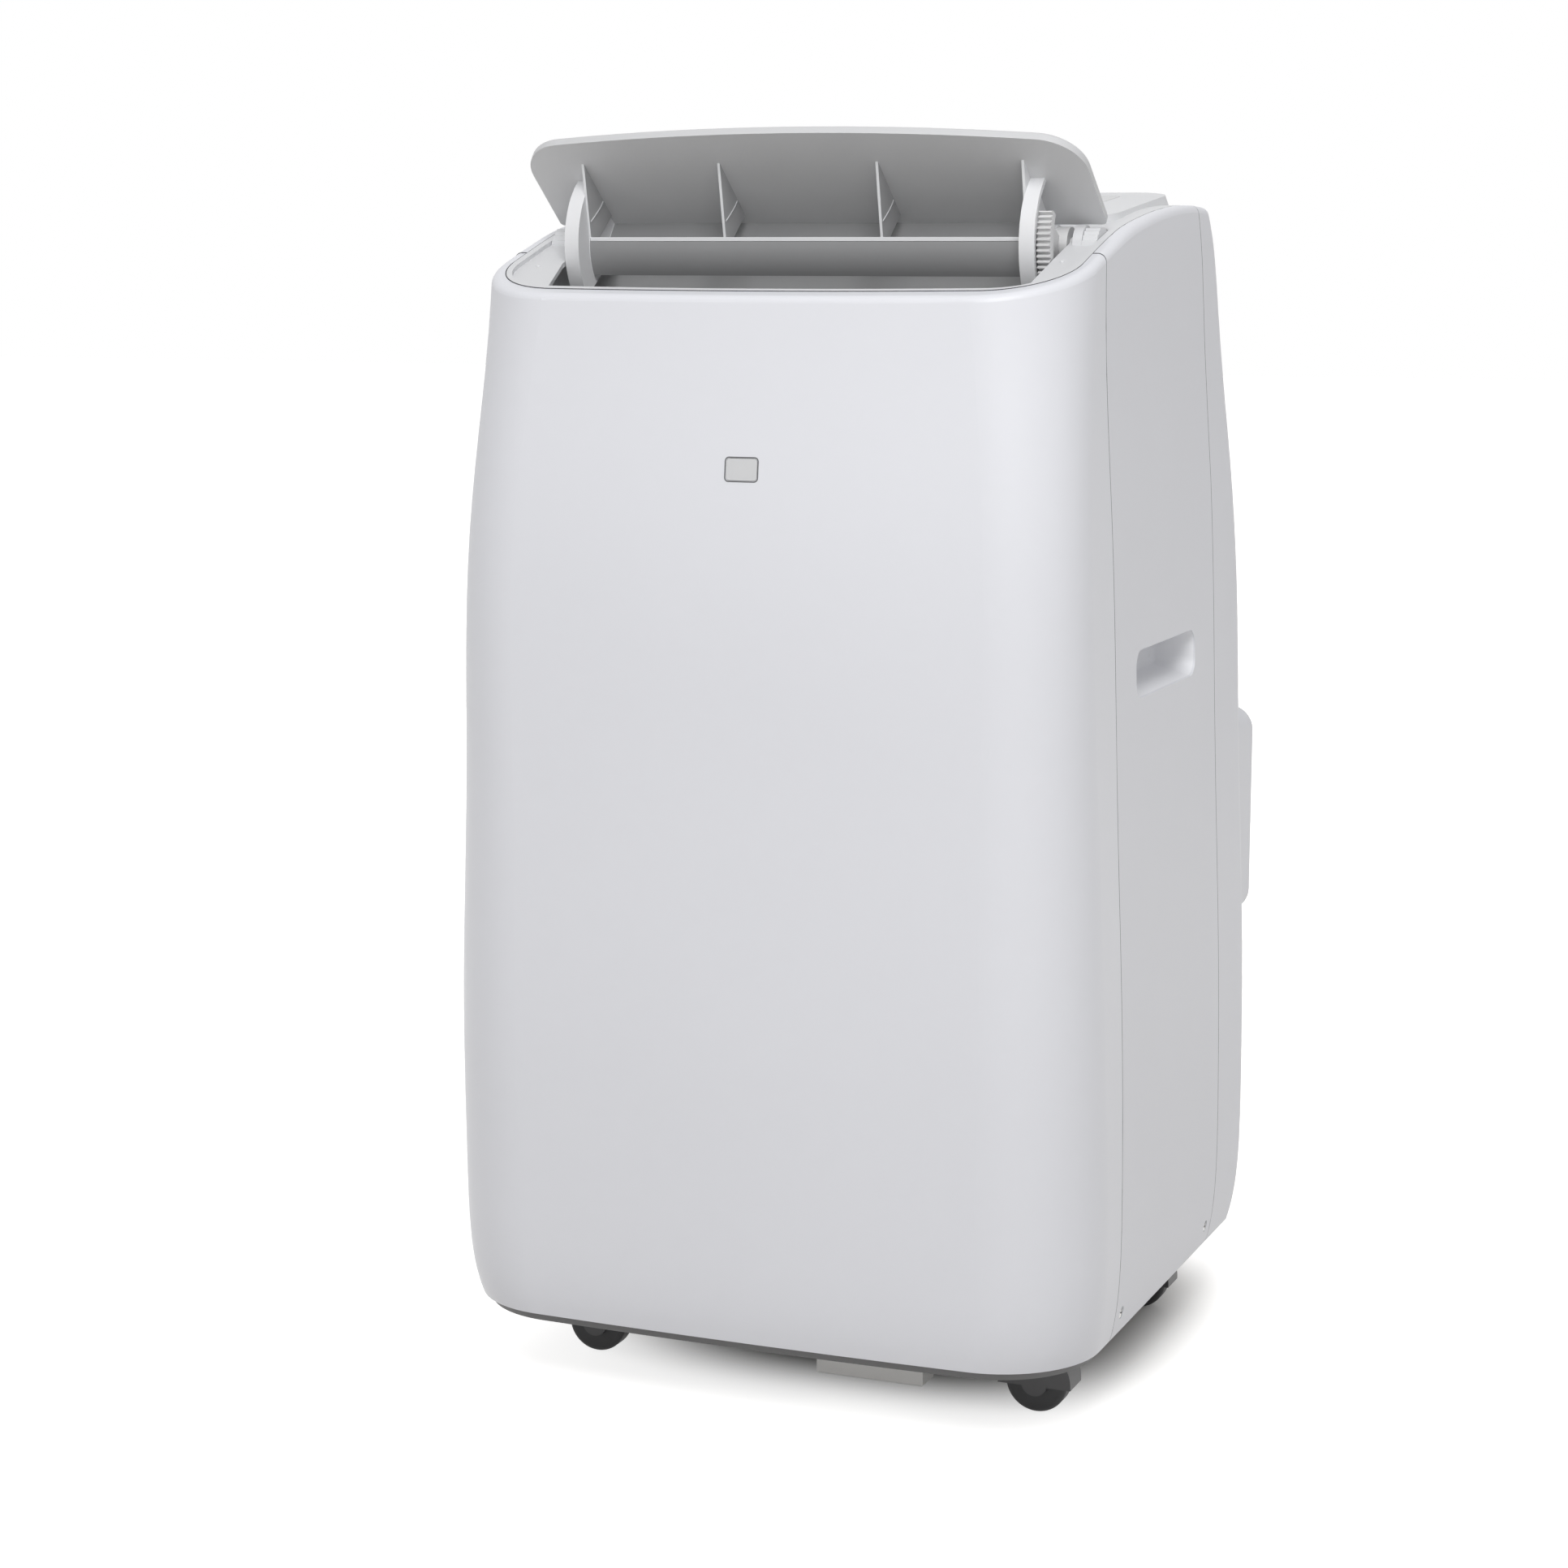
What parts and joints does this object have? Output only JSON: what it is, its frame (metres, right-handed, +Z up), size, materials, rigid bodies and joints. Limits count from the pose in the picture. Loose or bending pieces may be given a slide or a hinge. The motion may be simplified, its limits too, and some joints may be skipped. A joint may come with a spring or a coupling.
{
  "type": "portable air conditioner",
  "caption": "Free-standing portable air conditioner on casters, with a raised motor-driven outlet lid on top, side hand grips and a rear exhaust outlet.",
  "frame": {"origin": "on the floor, under the middle of the bounding box", "axes": "+Z up, the front panel and air outlet face -Y, +X to the right of a viewer facing the front"},
  "size_m": [0.4058, 0.4132, 0.7501],
  "materials": {
    "front_gloss": "glossy white moulding",
    "casing_satin": "satin white moulding",
    "top_grey": "light grey satin moulding",
    "pan_white": "warm white moulding",
    "panel_grey": "fine matte film",
    "button_white": "satin key caps",
    "window_smoke": "translucent grey lens",
    "gear_nylon": "plain nylon",
    "steel": "plain steel",
    "zinc": "zinc plated can",
    "duct_foam": "dark moulded duct",
    "wheel_plastic": "dark grey moulded fan",
    "coil_fins": "aluminium fins",
    "vessel_black": "black enamel",
    "copper": "drawn copper",
    "rubber_black": "soft rubber",
    "board_green": "circuit board",
    "filter_dark": "screen frame",
    "drain_white": "moulded spigot",
    "caster_grey": "dark grey moulding"
  },
  "bodies": {
    "casing": {"base_pan": "pan_white", "front_panel": "front_gloss", "side_panel_left": "casing_satin", "side_panel_right": "casing_satin", "rear_panel": "casing_satin", "case_screws": "steel", "top_cover": "top_grey", "control_panel": "panel_grey", "display_window": "window_smoke", "control_board": "board_green", "receiver_window": "window_smoke", "receiver_board": "board_green", "exhaust_outlet": "casing_satin", "upper_grille": "casing_satin", "filter_screen": "filter_dark", "lower_grille": "casing_satin", "drain_spigot": "drain_white", "drain_plug": "rubber_black", "cord_gland": "rubber_black", "louver_motor": "zinc", "evaporator_scroll": "duct_foam", "evaporator_fan_motor": "zinc", "condenser_scroll": "duct_foam", "condenser_fan_motor": "zinc", "partition": "pan_white", "evaporator": "coil_fins", "condenser": "coil_fins", "compressor": "vessel_black", "compressor_grommets": "rubber_black", "accumulator": "vessel_black", "suction_line": "copper", "liquid_line": "copper", "discharge_line": "copper"},
    "louver": {"louver_lid": "top_grey", "louver_frame": "top_grey", "louver_sector": "gear_nylon", "louver_pins": "steel"},
    "louver_drive": {"louver_pinion": "gear_nylon"},
    "evaporator_fan": {"evaporator_fan_wheel": "wheel_plastic", "evaporator_fan_shaft": "steel"},
    "condenser_fan": {"condenser_fan_wheel": "wheel_plastic", "condenser_fan_shaft": "steel"},
    "button_power_cap": {"button_power": "button_white"},
    "button_mode_cap": {"button_mode": "button_white"},
    "button_fan_cap": {"button_fan": "button_white"},
    "button_timer_cap": {"button_timer": "button_white"},
    "button_down_cap": {"button_down": "button_white"},
    "button_up_cap": {"button_up": "button_white"},
    "caster_front_left": {"caster_fork_front_left": "caster_grey", "caster_axle_front_left": "steel"},
    "roller_front_left": {"caster_wheel_front_left": "caster_grey"},
    "caster_front_right": {"caster_fork_front_right": "caster_grey", "caster_axle_front_right": "steel"},
    "roller_front_right": {"caster_wheel_front_right": "caster_grey"},
    "caster_rear_left": {"caster_fork_rear_left": "caster_grey", "caster_axle_rear_left": "steel"},
    "roller_rear_left": {"caster_wheel_rear_left": "caster_grey"},
    "caster_rear_right": {"caster_fork_rear_right": "caster_grey", "caster_axle_rear_right": "steel"},
    "roller_rear_right": {"caster_wheel_rear_right": "caster_grey"}
  },
  "joints": [
    {"name": "louver_tilt", "type": "hinge", "parent": "casing", "child": "louver", "pos_m": [0, -0.077, 0.684], "axis": [-1, 0, 0], "range_deg": [-59, 0]},
    {"name": "pinion_spin", "type": "hinge", "parent": "casing", "child": "louver_drive", "pos_m": [0, -0.11538, 0.6518], "axis": [-1, 0, 0], "range_deg": [-1, 269.78]},
    {"name": "evaporator_fan_spin", "type": "hinge", "parent": "casing", "child": "evaporator_fan", "pos_m": [0, -0.1, 0.52], "axis": [0, 1, 0], "continuous": true},
    {"name": "condenser_fan_spin", "type": "hinge", "parent": "casing", "child": "condenser_fan", "pos_m": [0.075, 0.03, 0.168], "axis": [0, 1, 0], "continuous": true},
    {"name": "press_power", "type": "slide", "parent": "casing", "child": "button_power_cap", "axis": [0, 0.1, -0.995], "range_m": [0, 0.0009], "stiffness_N_per_m": 900},
    {"name": "press_mode", "type": "slide", "parent": "casing", "child": "button_mode_cap", "axis": [0, 0.1, -0.995], "range_m": [0, 0.0009], "stiffness_N_per_m": 900},
    {"name": "press_fan", "type": "slide", "parent": "casing", "child": "button_fan_cap", "axis": [0, 0.1, -0.995], "range_m": [0, 0.0009], "stiffness_N_per_m": 900},
    {"name": "press_timer", "type": "slide", "parent": "casing", "child": "button_timer_cap", "axis": [0, 0.1, -0.995], "range_m": [0, 0.0009], "stiffness_N_per_m": 900},
    {"name": "press_down", "type": "slide", "parent": "casing", "child": "button_down_cap", "axis": [0, 0.1, -0.995], "range_m": [0, 0.0009], "stiffness_N_per_m": 900},
    {"name": "press_up", "type": "slide", "parent": "casing", "child": "button_up_cap", "axis": [0, 0.1, -0.995], "range_m": [0, 0.0009], "stiffness_N_per_m": 900},
    {"name": "swivel_front_left", "type": "hinge", "parent": "casing", "child": "caster_front_left", "pos_m": [-0.144, -0.106, 0.045], "axis": [0, 0, 1], "continuous": true},
    {"name": "swivel_front_right", "type": "hinge", "parent": "casing", "child": "caster_front_right", "pos_m": [0.144, -0.106, 0.045], "axis": [0, 0, 1], "continuous": true},
    {"name": "swivel_rear_left", "type": "hinge", "parent": "casing", "child": "caster_rear_left", "pos_m": [-0.144, 0.105, 0.045], "axis": [0, 0, 1], "continuous": true},
    {"name": "swivel_rear_right", "type": "hinge", "parent": "casing", "child": "caster_rear_right", "pos_m": [0.144, 0.105, 0.045], "axis": [0, 0, 1], "continuous": true},
    {"name": "roll_front_left", "type": "hinge", "parent": "caster_front_left", "child": "roller_front_left", "pos_m": [-0.136, -0.106, 0.019], "axis": [0, 1, 0], "continuous": true},
    {"name": "roll_front_right", "type": "hinge", "parent": "caster_front_right", "child": "roller_front_right", "pos_m": [0.152, -0.106, 0.019], "axis": [0, 1, 0], "continuous": true},
    {"name": "roll_rear_left", "type": "hinge", "parent": "caster_rear_left", "child": "roller_rear_left", "pos_m": [-0.136, 0.105, 0.019], "axis": [0, 1, 0], "continuous": true},
    {"name": "roll_rear_right", "type": "hinge", "parent": "caster_rear_right", "child": "roller_rear_right", "pos_m": [0.152, 0.105, 0.019], "axis": [0, 1, 0], "continuous": true}
  ],
  "couplings": [
    {"joint": "pinion_spin", "follows": "louver_tilt", "ratio": -4.5556}
  ]
}
